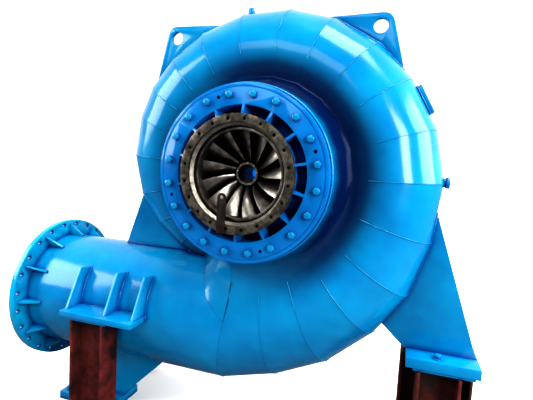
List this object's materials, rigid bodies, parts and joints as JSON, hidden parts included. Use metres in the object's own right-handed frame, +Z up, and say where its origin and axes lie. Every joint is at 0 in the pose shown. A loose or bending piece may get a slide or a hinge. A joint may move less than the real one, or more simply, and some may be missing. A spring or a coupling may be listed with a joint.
{
  "type": "horizontal Francis turbine",
  "caption": "Horizontal-shaft Francis turbine with spiral casing, ribbed front cover and runner in the open throat, standing on steel posts; the runner and shaft spin.",
  "frame": {"origin": "centre of the bounding box on the floor, under the stands", "axes": "+Z up, +Y along the shaft from the open throat to the coupling, -X towards the inlet flange"},
  "size_m": [2.586, 1.3544, 2.4737],
  "materials": {
    "blue_paint": "gloss",
    "raw_steel": "worn",
    "turned_steel": "turned",
    "oxide_paint": "matte, weathered"
  },
  "bodies": {
    "frame": {"inlet_flange": "blue_paint", "inlet_pipe": "blue_paint", "casing_bottom": "blue_paint", "casing_lower_right": "blue_paint", "casing_upper_right": "blue_paint", "casing_top": "blue_paint", "casing_upper_left": "blue_paint", "casing_left": "blue_paint", "casing_nose": "blue_paint", "cheek_front": "blue_paint", "cheek_rear": "blue_paint", "stay_ring": "blue_paint", "front_cover": "blue_paint", "rear_cover": "blue_paint", "bearing_housing": "blue_paint", "ear_left": "blue_paint", "ear_right": "blue_paint", "leg_right": "blue_paint", "foot_right": "blue_paint", "shim_right": "blue_paint", "leg_left_upper": "blue_paint", "leg_left_lower": "blue_paint", "foot_left": "blue_paint", "saddle_front": "blue_paint", "saddle_rear": "blue_paint", "shim_left_front": "blue_paint", "shim_left_rear": "blue_paint", "rim_pad": "blue_paint", "throat_ring": "raw_steel", "locking_bar": "raw_steel", "vane_linkage": "raw_steel", "stand_left_front": "oxide_paint", "stand_left_rear": "oxide_paint", "stand_right_front": "oxide_paint", "stand_right_rear_inner": "oxide_paint", "stand_right_rear_outer": "oxide_paint"},
    "rotor": {"runner": "raw_steel", "runner_band": "raw_steel", "shaft": "turned_steel"}
  },
  "joints": [
    {"name": "runner_spin", "type": "hinge", "parent": "frame", "child": "rotor", "pos_m": [0.146, -0.12285, 1.6], "axis": [0, 1, 0], "continuous": true}
  ]
}
